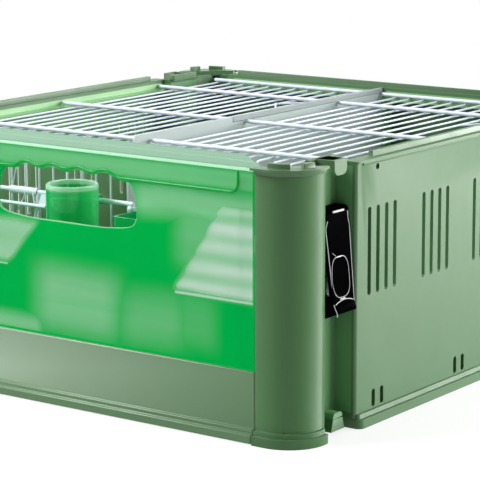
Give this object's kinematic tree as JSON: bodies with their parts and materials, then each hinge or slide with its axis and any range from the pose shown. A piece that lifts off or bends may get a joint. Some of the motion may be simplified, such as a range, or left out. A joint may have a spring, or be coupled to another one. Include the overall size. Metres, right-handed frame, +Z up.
{
  "type": "small animal transport cage",
  "caption": "Low stackable pet keeper with a lift-out clear front, wire roof halves, a pull-out litter tray, a divider and toggle latches at the corners.",
  "frame": {"origin": "middle of the footprint, on the surface that the cage stands on", "axes": "+Z up, +X to the right along the clear front, +Y from the front to the back"},
  "size_m": [0.3658, 0.3928, 0.1742],
  "materials": {
    "sage_plastic": "fine satin",
    "clear_green": "clear gloss",
    "white_wire": "white coating",
    "grey_plastic": "satin",
    "black_plastic": "gloss",
    "steel": "plain"
  },
  "bodies": {
    "cage": {"base_floor": "sage_plastic", "side_deck_left": "sage_plastic", "side_deck_right": "sage_plastic", "front_sill": "sage_plastic", "left_wall": "sage_plastic", "right_wall": "sage_plastic", "rear_wall": "sage_plastic", "column_front_left": "sage_plastic", "column_front_right": "sage_plastic", "column_rear_left": "sage_plastic", "column_rear_right": "sage_plastic", "web_front_left": "sage_plastic", "web_front_right": "sage_plastic", "web_rear_left": "sage_plastic", "web_rear_right": "sage_plastic", "cap_front_left": "sage_plastic", "cap_front_right": "sage_plastic", "cap_rear_left": "sage_plastic", "cap_rear_right": "sage_plastic", "stack_catches": "sage_plastic", "stack_lugs": "sage_plastic", "panel_guides": "sage_plastic", "latch_bases": "black_plastic", "latch_pins": "steel", "feeder_rod_left": "white_wire", "feeder_rod_right": "white_wire"},
    "clear_front": {"clear_front": "clear_green", "panel_tongues": "clear_green"},
    "litter_tray": {"litter_tray": "sage_plastic", "tray_front": "sage_plastic"},
    "divider": {"divider_sheet": "grey_plastic", "divider_strip": "grey_plastic"},
    "roof_left": {"roof_wires_left": "white_wire", "front_grille_left": "white_wire"},
    "roof_right": {"roof_wires_right": "white_wire", "front_grille_right": "white_wire"},
    "cup": {"drinking_cup": "clear_green", "cup_hook": "clear_green"},
    "dish": {"food_dish": "clear_green", "dish_hook": "clear_green"},
    "lever_front_left": {"lever_front_left": "black_plastic"},
    "hook_front_left": {"hook_front_left": "steel"},
    "lever_front_right": {"lever_front_right": "black_plastic"},
    "hook_front_right": {"hook_front_right": "steel"},
    "lever_rear_left": {"lever_rear_left": "black_plastic"},
    "hook_rear_left": {"hook_rear_left": "steel"},
    "lever_rear_right": {"lever_rear_right": "black_plastic"},
    "hook_rear_right": {"hook_rear_right": "steel"}
  },
  "joints": [
    {"name": "clear_front_lift", "type": "slide", "parent": "cage", "child": "clear_front", "axis": [0, 0, 1], "range_m": [0, 0.132]},
    {"name": "tray_slide", "type": "slide", "parent": "cage", "child": "litter_tray", "axis": [0, -1, 0], "range_m": [0, 0.28]},
    {"name": "divider_lift", "type": "slide", "parent": "cage", "child": "divider", "axis": [0, 0, 1], "range_m": [0, 0.13]},
    {"name": "roof_left_lift", "type": "slide", "parent": "cage", "child": "roof_left", "axis": [0, 0, 1], "range_m": [0, 0.13]},
    {"name": "roof_right_lift", "type": "slide", "parent": "cage", "child": "roof_right", "axis": [0, 0, 1], "range_m": [0, 0.13]},
    {"name": "cup_lift", "type": "slide", "parent": "cage", "child": "cup", "axis": [0, 0, 1], "range_m": [0, 0.015]},
    {"name": "dish_lift", "type": "slide", "parent": "cage", "child": "dish", "axis": [0, 0, 1], "range_m": [0, 0.015]},
    {"name": "lever_front_left_swing", "type": "hinge", "parent": "cage", "child": "lever_front_left", "pos_m": [-0.17, -0.1435, 0.139], "axis": [0, 1, 0], "range_deg": [0, 110]},
    {"name": "hook_front_left_hang", "type": "hinge", "parent": "lever_front_left", "child": "hook_front_left", "pos_m": [-0.1675, -0.1435, 0.121], "axis": [0, 1, 0], "range_deg": [-110, 0]},
    {"name": "lever_front_right_swing", "type": "hinge", "parent": "cage", "child": "lever_front_right", "pos_m": [0.17, -0.1435, 0.139], "axis": [0, -1, 0], "range_deg": [0, 110]},
    {"name": "hook_front_right_hang", "type": "hinge", "parent": "lever_front_right", "child": "hook_front_right", "pos_m": [0.1675, -0.1435, 0.121], "axis": [0, -1, 0], "range_deg": [-110, 0]},
    {"name": "lever_rear_left_swing", "type": "hinge", "parent": "cage", "child": "lever_rear_left", "pos_m": [-0.17, 0.1435, 0.139], "axis": [0, 1, 0], "range_deg": [0, 110]},
    {"name": "hook_rear_left_hang", "type": "hinge", "parent": "lever_rear_left", "child": "hook_rear_left", "pos_m": [-0.1675, 0.1435, 0.121], "axis": [0, 1, 0], "range_deg": [-110, 0]},
    {"name": "lever_rear_right_swing", "type": "hinge", "parent": "cage", "child": "lever_rear_right", "pos_m": [0.17, 0.1435, 0.139], "axis": [0, -1, 0], "range_deg": [0, 110]},
    {"name": "hook_rear_right_hang", "type": "hinge", "parent": "lever_rear_right", "child": "hook_rear_right", "pos_m": [0.1675, 0.1435, 0.121], "axis": [0, -1, 0], "range_deg": [-110, 0]}
  ],
  "couplings": [
    {"joint": "hook_front_left_hang", "follows": "lever_front_left_swing", "ratio": -1},
    {"joint": "hook_front_right_hang", "follows": "lever_front_right_swing", "ratio": -1},
    {"joint": "hook_rear_left_hang", "follows": "lever_rear_left_swing", "ratio": -1},
    {"joint": "hook_rear_right_hang", "follows": "lever_rear_right_swing", "ratio": -1}
  ]
}
